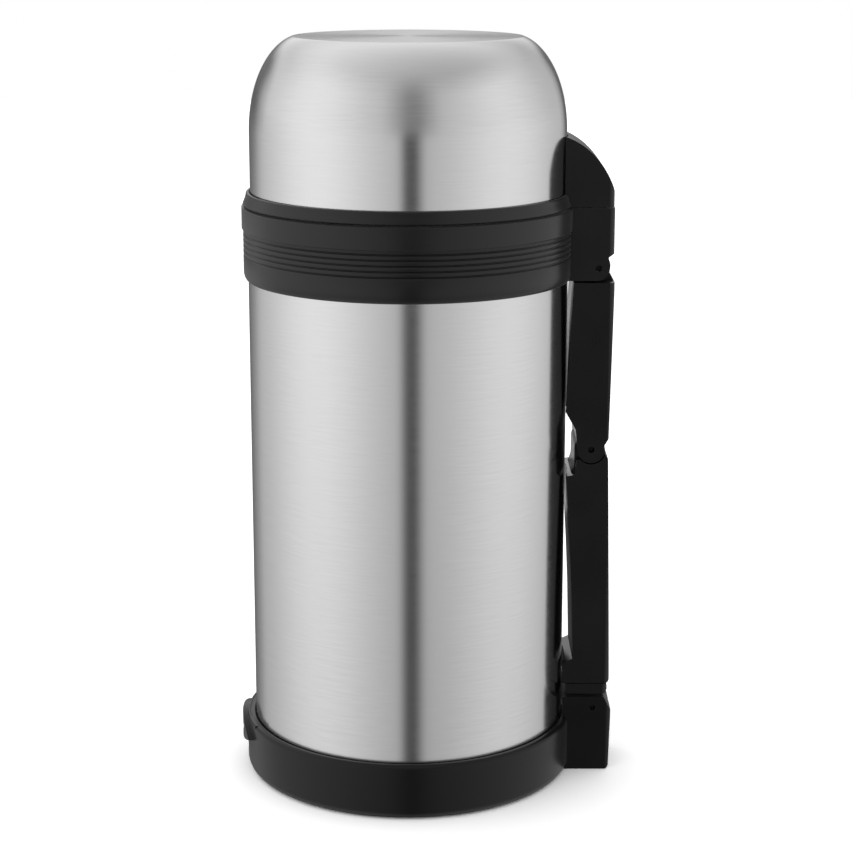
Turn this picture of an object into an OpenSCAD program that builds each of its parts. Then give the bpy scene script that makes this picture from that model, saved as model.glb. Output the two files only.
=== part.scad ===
// Vacuum jug: a double-walled steel vessel with a moulded boot and collar, a screw-on
// drinking cup, a pour-through stopper, and a handle of two hinged arms whose lower arm
// slides on a foot link, so that the handle folds flat against the body.
// Millimetres, +Z up. The origin is on the body's axis at the standing surface, and the
// handle is towards +X.

/* [Body] */
// Outside diameter of the steel body
body_d = 120; // [112:1:128]
// Height of the straight body wall above the standing surface
wall_top = 206; // [198:1:214]
// Height of the sloping shoulder above the wall
shoulder_h = 13; // [11:0.5:15]
// Outside diameter of the neck
neck_d = 60; // [56:1:64]
// Height of the neck above the shoulder
neck_h = 15; // [13:0.5:17]
// Thickness of the outer sheet
sheet_t = 0.8; // [0.6:0.1:1]
// Thickness of the inner vessel's sheet
liner_t = 0.6; // [0.4:0.1:0.8]
// Width of the vacuum space round the inner vessel
vacuum_gap = 6; // [4:0.5:8]
// Width of the vacuum space inside the neck
neck_gap = 0.8; // [0.6:0.1:1.2]
// Radius of the inner vessel's bottom corner
liner_corner_r = 10; // [6:1:14]
// Depth of the pressed dish in the outer base
base_dish = 4; // [3:0.5:6]
// Diameter of the getter disc in the vacuum space
getter_d = 14; // [10:1:20]
// Thickness of the getter disc
getter_t = 1.2; // [0.8:0.1:2]

/* [Boot] */
// Height of the boot's rim above the standing surface
boot_h = 21.2; // [18:0.2:23]
// How far the boot stands out from the body
boot_proud = 3.3; // [2.5:0.1:4.5]
// Thickness of the boot's floor
boot_floor = 3; // [2.5:0.25:4]
// Radius of the boot's bottom edge
boot_edge_r = 3.5; // [2:0.25:5]
// Width of the groove moulded round the underside
foot_groove_w = 6; // [4:0.5:8]
// Depth of the groove moulded round the underside
foot_groove_d = 0.8; // [0.4:0.1:1.2]
// Width of the recess between the boot's rim and the steel
rim_gap = 1.2; // [0.8:0.1:1.6]
// Depth of the recess between the boot's rim and the steel
rim_gap_d = 3; // [2:0.25:4]
// How far the strap lug stands out from the body
lug_out = 5.3; // [4.6:0.1:6]
// Height of the strap lug's crest
lug_top = 21.3; // [20.5:0.1:22.5]
// Height of the strap lug's lowest point
lug_bottom = 11; // [10:0.2:11.6]
// Height of the strap lug's pointed ends
lug_tip = 14.7; // [14:0.1:15.5]
// Length of the strap lug along the boot
lug_len = 43; // [40:0.5:46]
// Width of the strap slot between the lug and the steel
strap_slot_t = 2.2; // [1.8:0.1:2.5]
// Length of the strap slot
strap_slot_len = 26; // [20:0.5:28]
// Height of the window through the lug at the slot's foot
strap_window_h = 3.6; // [3:0.2:4]

/* [Collar] */
// How far the collar reaches down over the body wall
collar_drop = 13.3; // [12:0.1:15]
// How far the collar's top edge is above the body wall
collar_rise = 14.2; // [13.8:0.1:16]
// How far the collar stands out from the body
collar_proud = 1.7; // [1.4:0.1:2.5]
// Number of grooves round the collar
rib_count = 5; // [3:1:5]
// Spacing of the grooves round the collar
rib_pitch = 2; // [1.6:0.1:2]
// Depth of the grooves round the collar
rib_depth = 0.5; // [0.3:0.05:0.6]
// Height of the grooved band's foot above the collar's lower edge
rib_up = 8.4; // [8:0.1:9]
// How far the collar's upper band stands out past its grooved band
band_proud = 0.5; // [0.2:0.05:0.6]
// Height of the threaded spigot that takes the cup
spigot_h = 10.8; // [8:0.2:13]
// Wall thickness of the spigot
spigot_t = 3; // [2:0.25:4]
// Thickness of the deck that covers the shoulder
deck_t = 2.4; // [1.8:0.1:3]
// Width of the sealing ring round the neck
gasket_w = 4; // [3:0.25:5]
// Height of the sealing ring round the neck
gasket_h = 2.6; // [2:0.1:3.2]

/* [Cup] */
// How far the cup's wall lies inside the line of the body's wall
cup_inset = 1.1; // [0.7:0.1:3]
// Height of the cup from its rim to its top
cup_h = 61.15; // [58:0.05:70]
// Diameter of the flat top of the cup
cup_top_d = 85.2; // [70:0.2:95]
// Height of the domed shoulder of the cup
dome_h = 34.5; // [28:0.5:36]
// Thickness of the cup's steel
cup_sheet = 0.6; // [0.4:0.1:0.8]
// Thickness of the cup's moulded liner
cup_liner_t = 1.4; // [1:0.1:1.6]
// Height of the cup's rim ring
rim_h = 4.5; // [3.5:0.1:6]
// How far the cup's rim ring stands out from the cup at its foot
rim_proud = 2.7; // [2:0.1:3]
// Width of the gap between the rim ring's top and the cup's steel
cup_gap_w = 0.5; // [0.3:0.05:0.6]
// Depth of the gap between the rim ring's top and the cup's steel
cup_gap_d = 1.2; // [0.8:0.1:2]
// Half width of the ellipse that the grip's side outline follows
grip_a = 27.8; // [27:0.1:29]
// Half height of the ellipse that the grip's side outline follows
grip_b = 32.4; // [31:0.1:34]

/* [Handle] */
// Width of the handle, its brackets and the cup's grip
handle_w = 28; // [26:0.5:32]
// Width of the shoulder's and the foot's knuckle between their cheeks
knuckle_w = 14; // [12:0.5:16]
// Width of the elbow's knuckle between its cheeks
elbow_w = 21; // [18:0.5:21.5]
// Radius along the outer edges of the handle
edge_r = 2; // [1:0.25:3]
// Radius of the fillet from a bracket to its ring
bracket_fillet_r = 0.75; // [0.5:0.25:3]
// Outer face of the upper bracket, from the body wall
bracket_out = 16.4; // [15.4:0.1:18]
// Outer face of the foot bracket, from the body wall
foot_out = 18.7; // [18:0.1:20]
// Outer face of the upper arm at its shoulder, from the body wall
arm_out = 16.8; // [16.4:0.1:18]
// How much nearer the body the arms' outer faces are at the elbow
elbow_draft = 1.2; // [0.8:0.1:1.5]
// Distance of the shoulder pin from the body wall
shoulder_pin_out = 10.7; // [10.3:0.1:11]
// Height of the shoulder pin above the collar's lower edge
shoulder_pin_up = 5.1; // [4.9:0.1:5.6]
// Distance of the elbow pin from the body wall
elbow_pin_out = 9.1; // [8.8:0.1:9.4]
// Distance of the elbow pin below the shoulder pin
upper_arm_len = 69.1; // [62:0.1:78]
// Distance of the foot pin from the body wall
foot_pin_out = 11.5; // [11.2:0.1:11.8]
// Height of the foot pin above the standing surface
foot_pin_up = 25.4; // [24.4:0.1:27]
// Diameter of the hinge pins
pin_d = 2.4; // [2:0.1:3]
// Depth of the pins' ends below the sides of the handle
pin_recess = 1.6; // [0.6:0.1:2]
// Thickness of the foot link's blade
blade_t = 4; // [3:0.25:4.5]
// Width of the foot link's blade
blade_w = 16; // [14:0.5:17]
// Length of the foot link's blade from the foot pin
blade_len = 75; // [70:1:78]
// How much wider the blade's stop head is than the blade
stop_w = 5; // [4:0.5:6]
// Length of the blade's stop head
stop_h = 6; // [4:0.5:8]
// How far the lower arm slides on the blade
slide_travel = 19.3; // [18.5:0.1:21]

/* [Stopper] */
// Diameter of the stopper's plug
plug_d = 54.4; // [46:0.2:54.6]
// Depth of the plug below the lip of the neck
plug_depth = 28.7; // [25:0.1:30]
// Diameter of the stopper's grip flange
flange_d = 62; // [58:0.5:66]
// Height of the stopper's grip flange
flange_h = 6.8; // [6:0.1:8]
// Thickness of the stopper's sealing ring
seal_t = 1.5; // [1:0.1:2]
// Diameter of the push button
button_d = 25.8; // [22:0.2:28]
// How far the button stands above the flange
button_rise = 2.2; // [1.5:0.1:3]
// Travel of the push button
button_travel = 4; // [3:0.25:4.5]
// Diameter of the valve stem
stem_d = 7; // [6:0.25:8]
// Diameter of the valve's sealing disc
valve_d = 20; // [19:0.5:24]
// Thickness of the valve's sealing disc
valve_t = 3; // [2:0.25:4]
// Number of passages through the plug
port_count = 4; // [3:1:6]
// Diameter of the passages through the plug
port_d = 3.2; // [2.5:0.1:3.6]
// Width of the pouring notch in the flange
spout_w = 10; // [7:0.5:14]
// Wire diameter of the button's spring
wire_d = 0.9; // [0.6:0.05:1.1]
// Number of turns in the button's spring
spring_turns = 5; // [4:1:5]

/* [Fits] */
// Radial clearance of a pin in a turning knuckle
run_fit = 0.05; // [0.02:0.01:0.1]
// Radial clearance of a pin in its cheeks, and of welded sheets
tight_fit = 0.02; // [0.01:0.01:0.05]
// Clearance of moulded rings on the steel
ring_fit = 0.15; // [0.1:0.01:0.25]
// Clearance beside a knuckle or a sliding piece
side_fit = 0.3; // [0.2:0.05:0.5]
// Room left round a piece that swings
swing_fit = 0.5; // [0.4:0.05:0.8]
// Gap between the folded handle and the body
arm_gap = 0.8; // [0.6:0.1:1.2]
// Height of the parting line between the cup and the collar
split_gap = 0.45; // [0.3:0.05:0.8]
// Sideways room of the blade in the lower arm, each way
blade_play = 2.4; // [2.3:0.1:2.6]

/* [Hidden] */
$fn = 64;

steel = "#c9cac8";
black_plastic = "#1d1d1f";
grey_plastic = "#4a4b4d";
pale_plastic = "#d9d8d2";
silicone = "#b9bab6";

// Heights of the main parts
body_r = body_d / 2;
neck_r = neck_d / 2;
collar_z = wall_top - collar_drop;
split_z = wall_top + collar_rise;
ledge_z = wall_top + shoulder_h;
lip_z = ledge_z + neck_h;
base_top = boot_floor + base_dish + sheet_t;
rim_z = split_z + split_gap;
cup_top = rim_z + cup_h;

// The shoulder of the outer shell: a short bend, a cone and a flat ledge at the neck
bend_in = 2;
bend_up = 3.5;
ledge_r = neck_r + gasket_w;
cone_r = body_r - bend_in;
cone_slope = (shoulder_h - bend_up) / (cone_r - ledge_r);
function shoulder_height(r) = ledge_z - (r - ledge_r) * cone_slope;

// The inner vessel and its neck
liner_r = body_r - sheet_t - vacuum_gap;
liner_z = base_top + vacuum_gap;
liner_neck_r = neck_r - sheet_t - neck_gap;
mouth_r = liner_neck_r - liner_t;
liner_shoulder_z = ledge_z - 0.75 * vacuum_gap;
liner_bend = 4;
lip_t = 0.7;
lip_top = lip_z + lip_t;

// Outer radii of the moulded rings
boot_r = body_r + boot_proud;
collar_r = body_r + collar_proud;
cup_r = body_r - cup_inset;
rim_r = cup_r + rim_proud;
bore_r = body_r + ring_fit;
recess_r = bore_r + rim_gap;
recess_z = boot_h - rim_gap_d;

// Where a bracket's or an arm's blank ends, inside the body
blank_x = 0.7 * body_r;

// The dome of the cup is a quarter ellipse that the flat top cuts short
dome_end = 78;
dome_z = cup_top - dome_h;
dome_a = (cup_r - cup_top_d / 2) / (1 - cos(dome_end));
dome_b = dome_h / sin(dome_end);
cup_fit = 0.3;
cup_foot = rim_z + 1.4;
liner_inset = cup_sheet + cup_fit;
cup_inner_r = cup_r - liner_inset - cup_liner_t;
thread_room = 0.7;
spigot_r = cup_inner_r - thread_room;
grip_out = body_r + bracket_out - 0.3;
grip_centre = [body_r - 10, rim_z - 5.45];

// Hinge axes in the X-Z plane
shoulder_axis = [body_r + shoulder_pin_out, collar_z + shoulder_pin_up];
elbow_axis = [body_r + elbow_pin_out, shoulder_axis[1] - upper_arm_len];
foot_axis = [body_r + foot_pin_out, foot_pin_up];
arm_lean = atan2(elbow_axis[0] - foot_axis[0], elbow_axis[1] - foot_axis[1]);

// Sizes of the hinges
pin_r = pin_d / 2;
slot_w = knuckle_w + 2 * side_fit;
cheek_r = 3.6;
knuckle_r = 4.8;
knuckle_chamfer = 2.9;
elbow_r = 5.2;
elbow_inner_r = 6.1;
foot_knuckle_r = 4.6;

// Sizes of the arms
bracket_sill = collar_z + 0.5;
arm_top = bracket_sill - 0.8;
elbow_out = arm_out - elbow_draft;
elbow_notch = 1.5;
heel_drop = 10.4;
arm_tip_z = foot_axis[1] + 10.1;
arm_foot_out = foot_out - 0.9;
head_in = 1.2;
head_out = foot_out - 1.6;
head_bottom = 5.8;
head_top = arm_tip_z - side_fit - foot_axis[1];
bracket_top = foot_axis[1] + 4.3;

// Heights inside the stopper
flange_z = lip_top + seal_t;
flange_top = flange_z + flange_h;
plug_z = lip_top - plug_depth;
plug_r = plug_d / 2;
button_r = button_d / 2;
button_flange_r = button_r + 1.6;
well_r = button_flange_r + side_fit;
button_flange_t = 2.5;
retainer_t = 2.3;
button_z = flange_top - retainer_t - 0.2 - button_flange_t;
well_z = button_z - button_travel - 8;
stem_r = stem_d / 2;
boss_r = stem_r + 1.5;
boss_h = 4;
spring_r = boss_r + 1.2;
port_ring_r = stem_r + 3;
valve_gap = 0.1;

// Points along an arc of an ellipse, from angle t0 to t1
function arc(centre, a, b, t0, t1, n = 8) =
    [for (i = [0:n]) let (t = t0 + (t1 - t0) * i / n) centre + [a * cos(t), b * sin(t)]];

// Sets an X-Z outline upright and gives it a width along Y
module along_y(w) {
    translate([0, w / 2, 0])
        rotate([90, 0, 0])
            linear_extrude(w)
                children();
}

// A round bar along Y through a point of the X-Z plane
module across(point, r, w) {
    translate([point[0], 0, point[1]])
        rotate([90, 0, 0])
            cylinder(h = w, r = r, center = true);
}

// A disc in an X-Z outline
module dot(point, r) {
    translate(point)
        circle(r);
}

// The body with clearance, cut from what lies against it
module body_clearance(z0, z1, gap) {
    translate([0, 0, z0])
        cylinder(h = z1 - z0, r = body_r + gap, $fn = 128);
}

// Half of a bracket's plan: rounded outer corner, flat side, then a fillet to its ring
function half_plan(ring_r, out, fillet_r) =
    let (side = handle_w / 2,
         foot_x = sqrt(pow(ring_r - ring_fit + fillet_r, 2) - pow(side + fillet_r, 2)),
         turn = 180 + atan2(side + fillet_r, foot_x))
    concat(
        arc([out - edge_r, side - edge_r], edge_r, edge_r, 0, 90, 6),
        arc([foot_x, side + fillet_r], fillet_r, fillet_r, 270, turn, 6),
        [[blank_x, side + fillet_r]]);

// Plan of a bracket that grows out of a ring towards +X
module bracket_plan(ring_r, out, fillet_r) {
    half = half_plan(ring_r, out, fillet_r);
    other = [for (i = [len(half) - 1:-1:0]) [half[i][0], -half[i][1]]];
    polygon(concat(half, other));
}

// Plan of an arm: a bar with rounded outer edges
module arm_plan(out) {
    side = handle_w / 2;
    corner = arc([out - edge_r, side - edge_r], edge_r, edge_r, 0, 90, 6);
    other = [for (i = [len(corner) - 1:-1:0]) [corner[i][0], -corner[i][1]]];
    polygon(concat(corner, [[blank_x, side], [blank_x, -side]], other));
}

// Cuts an arm's side outline to the plan of a bar, with its inner face hollowed to the body
module arm_bar(z0, z1, out) {
    difference() {
        intersection() {
            along_y(handle_w + 2)
                children();
            translate([0, 0, z0 - 1])
                linear_extrude(z1 - z0 + 2)
                    arm_plan(out);
        }
        body_clearance(z0 - 2, z1 + 2, arm_gap);
    }
}

// Outer wall of the vacuum vessel, necked in at the top
module outer_shell() {
    outer = [
        [0, boot_floor], [body_r, boot_floor], [body_r, wall_top], [cone_r, wall_top + bend_up],
        [ledge_r, ledge_z], [neck_r, ledge_z], [neck_r, lip_z], [0, lip_z],
    ];
    inner = [
        [0, boot_floor - 1], [body_r - sheet_t, boot_floor - 1], [body_r - sheet_t, wall_top - 0.3 * sheet_t],
        [cone_r - 0.4 * sheet_t, wall_top + bend_up - sheet_t], [ledge_r - 0.2 * sheet_t, ledge_z - sheet_t],
        [neck_r - sheet_t, ledge_z - sheet_t], [neck_r - sheet_t, lip_z + 1], [0, lip_z + 1],
    ];
    color(steel)
        rotate_extrude($fn = 128)
            difference() {
                polygon(outer);
                polygon(inner);
            }
}

// Inner vessel, with the lip that closes the vacuum space at the mouth
module inner_liner() {
    corner = [liner_r - liner_corner_r, liner_z + liner_corner_r];
    inner_corner_r = liner_corner_r - liner_t;
    bend_r = liner_r - liner_bend;
    outer = concat(
        [[0, liner_z]],
        arc(corner, liner_corner_r, liner_corner_r, 270, 360),
        [[liner_r, wall_top - liner_bend], [bend_r, wall_top], [liner_neck_r, liner_shoulder_z],
         [liner_neck_r, lip_z], [neck_r + 0.4, lip_z], [neck_r + 0.4, lip_top], [0, lip_top]]);
    inner = concat(
        [[0, liner_z + liner_t]],
        arc(corner, inner_corner_r, inner_corner_r, 270, 360),
        [[liner_r - liner_t, wall_top - liner_bend - 0.3 * liner_t],
         [bend_r - 0.4 * liner_t, wall_top - liner_t], [mouth_r, liner_shoulder_z - liner_t],
         [mouth_r, lip_top + 1], [0, lip_top + 1]]);
    color(steel)
        rotate_extrude($fn = 128)
            difference() {
                polygon(outer);
                polygon(inner);
            }
}

// Pressed dish that closes the outer shell at the bottom
module shell_base() {
    outer_r = body_r - sheet_t - tight_fit;
    inner_r = outer_r - sheet_t;
    dish_z = boot_floor + base_dish;
    color(steel)
        rotate_extrude($fn = 128)
            polygon([
                [0, dish_z], [inner_r, dish_z], [inner_r, boot_floor], [outer_r, boot_floor],
                [outer_r, base_top], [0, base_top],
            ]);
}

// Gas-absorbing disc on the underside of the inner vessel
module getter() {
    color("#8d8b86")
        translate([0, 0, liner_z - getter_t])
            cylinder(h = getter_t, d = getter_d);
}

// Side outline of the foot bracket
module foot_bracket_outline() {
    outer = body_r + foot_out;
    corner_r = 2;
    chamfer_in = 2.9;
    chamfer_down = 5.7;
    heel = outer - 0.7;
    polygon([
        [blank_x, 0], [heel - corner_r, 0], [heel - corner_r, corner_r], [heel, corner_r],
        [outer, bracket_top - chamfer_down], [outer - chamfer_in, bracket_top], [blank_x, bracket_top],
    ]);
    dot([heel - corner_r, corner_r], corner_r);
}

// Room for the foot link's knuckle, open at the top and outwards for its lean
module foot_slot() {
    slot_r = foot_knuckle_r + swing_fit;
    along_y(slot_w)
        union() {
            dot(foot_axis, slot_r);
            translate([foot_axis[0] - slot_r, foot_axis[1] - 1])
                square([foot_out, foot_axis[1]]);
        }
}

// Radius of an arc from its height and its chord
function arc_radius(rise, chord) = (pow(chord / 2, 2) + pow(rise, 2)) / (2 * rise);

// Strap lug: a boss with two pointed ends that follows the boot's wall
module strap_lug() {
    upper_r = arc_radius(lug_top - lug_tip, lug_len);
    lower_r = arc_radius(lug_tip - lug_bottom, lug_len);
    intersection() {
        rotate([0, -90, 0])
            linear_extrude(2 * body_r)
                intersection() {
                    dot([lug_top - upper_r, 0], upper_r);
                    dot([lug_bottom + lower_r, 0], lower_r);
                }
        cylinder(h = 2 * lug_top, r = body_r + lug_out, $fn = 128);
    }
}

// Way of the strap: down between the lug and the steel, and out through a window
module strap_slot() {
    floor_z = lug_bottom + 2;
    intersection() {
        translate([-2 * body_r, -strap_slot_len / 2, floor_z])
            cube([2 * body_r, strap_slot_len, lug_top]);
        translate([0, 0, floor_z])
            cylinder(h = lug_top, r = bore_r + strap_slot_t, $fn = 128);
    }
    translate([-2 * body_r, -strap_slot_len / 2, floor_z])
        cube([body_r + bore_r, strap_slot_len, strap_window_h]);
}

// Moulded boot with the foot bracket of the handle and, opposite it, the strap lug
module base_boot() {
    rim_round = 0.6;
    groove_slope = 0.5;
    groove_in = body_r - 9 - foot_groove_w / 2;
    groove_out = groove_in + foot_groove_w;
    profile = concat(
        [[0, 0], [groove_in, 0], [groove_in + groove_slope, foot_groove_d],
         [groove_out - groove_slope, foot_groove_d], [groove_out, 0]],
        arc([boot_r - boot_edge_r, boot_edge_r], boot_edge_r, boot_edge_r, 270, 360),
        arc([boot_r - rim_round, boot_h - rim_round], rim_round, rim_round, 0, 90, 5),
        [[recess_r, boot_h], [recess_r, recess_z], [bore_r, recess_z],
         [bore_r, boot_floor], [0, boot_floor]]);
    color(black_plastic)
        difference() {
            union() {
                rotate_extrude($fn = 128)
                    polygon(profile);
                difference() {
                    union() {
                        intersection() {
                            along_y(4 * handle_w)
                                foot_bracket_outline();
                            linear_extrude(2 * bracket_top)
                                bracket_plan(boot_r, body_r + foot_out, bracket_fillet_r);
                        }
                        strap_lug();
                    }
                    translate([0, 0, -1])
                        cylinder(h = 2 * bracket_top, r = bore_r, $fn = 128);
                    translate([0, 0, recess_z])
                        cylinder(h = 2 * bracket_top, r = recess_r, $fn = 128);
                }
            }
            foot_slot();
            across(foot_axis, pin_r + tight_fit, 2 * handle_w);
            strap_slot();
        }
}

// Outer profile of the collar, with the grooves of its grip band
function collar_outline() =
    let (rib_z = collar_z + rib_up,
         half = 0.22 * rib_pitch,
         foot_h = 3.2,
         foot_in = bore_r + 0.2,
         step_h = 0.3,
         band_z = rib_z + (rib_count + 0.2) * rib_pitch,
         band_r = collar_r + band_proud)
    concat(
        arc([foot_in, collar_z + foot_h], collar_r - foot_in, foot_h, 270, 360, 5),
        [for (i = [0:rib_count - 1]) for (p = [[0, -half], [-rib_depth, 0], [0, half]])
            [collar_r + p[0], rib_z + (i + 0.5) * rib_pitch + p[1]]],
        [[collar_r, band_z], [band_r, band_z + step_h], [band_r, split_z - 0.5], [band_r - 0.5, split_z]]);

// Side outline of the handle's upper bracket
module upper_bracket_outline() {
    outer = body_r + bracket_out;
    cheek_x = shoulder_axis[0] + cheek_r;
    corner_r = 4;
    notch_outer_z = shoulder_axis[1] + 5.5;
    notch_inner_z = shoulder_axis[1] + 4.2;
    polygon([
        [blank_x, split_z], [outer, split_z], [outer, notch_outer_z], [cheek_x, notch_inner_z],
        [cheek_x, bracket_sill + corner_r], [cheek_x - corner_r, bracket_sill + corner_r],
        [cheek_x - corner_r, bracket_sill], [blank_x, bracket_sill],
    ]);
    dot([cheek_x - corner_r, bracket_sill + corner_r], corner_r);
}

// Room for the upper arm's knuckle, open downwards and outwards
module shoulder_slot() {
    slot_r = norm([knuckle_r, knuckle_chamfer]) + swing_fit - 0.3;
    along_y(slot_w)
        union() {
            dot(shoulder_axis, slot_r);
            translate([shoulder_axis[0] - slot_r, shoulder_axis[1] - 2 * slot_r])
                square([bracket_out, 2 * slot_r]);
        }
}

// Collar over the shoulder, with the cup's spigot and the handle's upper bracket
module collar() {
    spigot_in = spigot_r - spigot_t;
    lift = ring_fit + 0.05;
    profile = concat(
        [[bore_r, collar_z]],
        collar_outline(),
        [[spigot_r, split_z], [spigot_r, split_z + spigot_h - 0.6], [spigot_r - 0.6, split_z + spigot_h],
         [spigot_in, split_z + spigot_h], [spigot_in, shoulder_height(spigot_in) + deck_t],
         [ledge_r + ring_fit, ledge_z + deck_t], [ledge_r + ring_fit, ledge_z + lift],
         [cone_r + lift, wall_top + bend_up + lift], [bore_r, wall_top + lift]]);
    color(grey_plastic)
        difference() {
            union() {
                rotate_extrude($fn = 128)
                    polygon(profile);
                difference() {
                    intersection() {
                        along_y(4 * handle_w)
                            upper_bracket_outline();
                        linear_extrude(2 * split_z)
                            bracket_plan(collar_r, body_r + bracket_out, bracket_fillet_r);
                    }
                    translate([0, 0, collar_z - 1])
                        cylinder(h = 2 * split_z, r = bore_r, $fn = 128);
                }
            }
            shoulder_slot();
            across(shoulder_axis, pin_r + tight_fit, 2 * handle_w);
        }
}

// Sealing ring between the neck and the collar's deck
module collar_gasket() {
    outer_r = ledge_r - tight_fit;
    inner_r = neck_r + tight_fit;
    color(silicone)
        rotate_extrude($fn = 128)
            polygon([
                [inner_r, ledge_z], [outer_r, ledge_z], [outer_r, ledge_z + gasket_h - 0.6],
                [outer_r - 0.6, ledge_z + gasket_h], [inner_r + 0.6, ledge_z + gasket_h],
                [inner_r, ledge_z + gasket_h - 0.6],
            ]);
}

// One hinge pin
module hinge_pin(axis) {
    color(steel)
        across(axis, pin_r, handle_w - 2 * pin_recess);
}

module shoulder_pin() {
    hinge_pin(shoulder_axis);
}

module foot_pin() {
    hinge_pin(foot_axis);
}

module elbow_pin() {
    hinge_pin(elbow_axis);
}

// Side outline of the upper arm's bar, down to the cheeks at the elbow
module upper_arm_outline() {
    cheek_z = elbow_axis[1];
    outer = body_r + elbow_out;
    cheek_in = elbow_axis[0] - elbow_r;
    notch_top = cheek_z + 4.2;
    notch_foot = cheek_z + 1.7;
    bend_low = cheek_z + 7.8;
    bend_high = cheek_z + 14.6;
    inner_top = body_r + 1.5;
    inner_foot = body_r - 0.8;
    polygon([
        [inner_top, arm_top], [body_r + arm_out, arm_top], [outer, notch_top],
        [outer - elbow_notch, notch_foot], [elbow_axis[0] + elbow_r - 0.1, cheek_z],
        [cheek_in, cheek_z], [cheek_in - 0.8, bend_low], [inner_foot, bend_high],
    ]);
    dot(elbow_axis, elbow_r);
}

// Side outline of the knuckle at the shoulder
module shoulder_knuckle_outline() {
    knuckle_z = shoulder_axis[1];
    dot(shoulder_axis, knuckle_r);
    polygon([
        [shoulder_axis[0] - knuckle_r, knuckle_z], [shoulder_axis[0] + knuckle_r, knuckle_z],
        [shoulder_axis[0] + knuckle_r - 0.3, knuckle_z - knuckle_chamfer], [body_r + arm_out, arm_top],
        [body_r + arm_out, arm_top - 4], [shoulder_axis[0] - knuckle_r, arm_top - 4],
    ]);
}

// Upper arm: a knuckle at the shoulder, a bar, and two cheeks at the elbow
module upper_arm() {
    reach = elbow_inner_r + swing_fit + 0.2;
    color(black_plastic)
        difference() {
            union() {
                arm_bar(elbow_axis[1] - elbow_r, arm_top, body_r + arm_out)
                    upper_arm_outline();
                along_y(knuckle_w)
                    shoulder_knuckle_outline();
            }
            along_y(elbow_w + 2 * side_fit)
                intersection() {
                    dot(elbow_axis, reach);
                    translate(elbow_axis - [2 * reach, 2 * reach])
                        square([2 * reach + elbow_r + swing_fit, 4 * reach]);
                }
            across(shoulder_axis, pin_r + run_fit, 2 * handle_w);
            across(elbow_axis, pin_r + tight_fit, 2 * handle_w);
        }
}

// Side outline of the lower arm's bar, with a finger scoop and a resting pad inside
module lower_arm_outline() {
    elbow_z = elbow_axis[1];
    outer = body_r + elbow_out;
    tip_out = body_r + arm_foot_out;
    tip_r = 1.4;
    heel = [body_r - 0.1, elbow_z - heel_drop];
    heel_top = [body_r + 2.9, elbow_z - 9.8];
    throat = [body_r + 3.6, elbow_z - 4];
    notch = [outer - elbow_notch, elbow_z - 1.4];
    crest = [outer, elbow_z - 3.6];
    pad_in = body_r - 1.2;
    pad_top = arm_tip_z + 8;
    scoop_foot = [body_r + 3.4, arm_tip_z + 10];
    scoop_mid = [body_r + 2.7, arm_tip_z + 34];
    scoop_end = [body_r + 1.9, arm_tip_z + 50];
    polygon(concat(
        [heel, heel_top, throat, notch, crest, [tip_out, arm_tip_z + tip_r]],
        arc([tip_out - tip_r, arm_tip_z + tip_r], tip_r, tip_r, -30, -90, 2),
        [[pad_in, arm_tip_z], [pad_in, pad_top], scoop_foot, scoop_mid, scoop_end]));
}

// Side outline of the lower arm's knuckle, deeper towards the body
module elbow_knuckle_outline() {
    z = elbow_axis[1];
    outer_r = elbow_r - 0.3;
    outer_x = elbow_axis[0] + outer_r;
    inner_x = elbow_axis[0] - elbow_inner_r;
    round_r = 5.6;
    neck_drop = 7;
    root_drop = 14;
    dot(elbow_axis, outer_r);
    dot([inner_x + round_r, z], round_r);
    polygon([
        [inner_x, z], [outer_x, z], [outer_x, z - neck_drop - 1], [elbow_axis[0], z - root_drop],
        [inner_x - 1.2, z - heel_drop], [inner_x, z - neck_drop],
    ]);
}

// Places what runs along the lower arm's own line, with its origin on the foot pin
module along_foot_line() {
    translate([foot_axis[0], 0, foot_axis[1]])
        rotate([0, arm_lean, 0])
            children();
}

// Space inside the lower arm for the blade: a narrow mouth, then room for the stop head
module blade_space() {
    depth = blade_t + 2 * blade_play;
    mouth_w = blade_w + 2 * side_fit;
    room_w = mouth_w + stop_w;
    mouth_end = blade_len - stop_h - slide_travel;
    along_foot_line() {
        translate([-depth / 2, -mouth_w / 2, 0])
            cube([depth, mouth_w, mouth_end + 1]);
        translate([-depth / 2, -room_w / 2, mouth_end])
            cube([depth, room_w, blade_len + 2 - mouth_end]);
    }
}

// Lower arm: a knuckle at the elbow, and a hollow bar that slides on the foot link
module lower_arm() {
    color(black_plastic)
        difference() {
            union() {
                difference() {
                    arm_bar(arm_tip_z, elbow_axis[1], body_r + arm_foot_out)
                        lower_arm_outline();
                    across(elbow_axis, elbow_r + swing_fit, 2 * handle_w);
                }
                difference() {
                    along_y(elbow_w)
                        elbow_knuckle_outline();
                    body_clearance(arm_tip_z, split_z, arm_gap);
                }
            }
            blade_space();
            across(elbow_axis, pin_r + run_fit, 2 * handle_w);
        }
}

// Side outline of the foot link's head and of its knuckle, with the foot pin at the origin
module link_head_outline() {
    inner = head_in - foot_pin_out;
    outer = head_out - foot_pin_out;
    polygon([
        [inner, head_bottom], [outer - 1.2, head_bottom], [outer, head_bottom + 1.6],
        [outer - 0.3, head_top], [inner, head_top],
    ]);
}

module link_knuckle_outline() {
    circle(foot_knuckle_r);
    polygon([
        [-foot_knuckle_r, 0], [foot_knuckle_r, 0], [foot_knuckle_r, head_bottom + 1],
        [-foot_knuckle_r, head_bottom + 1],
    ]);
}

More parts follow.
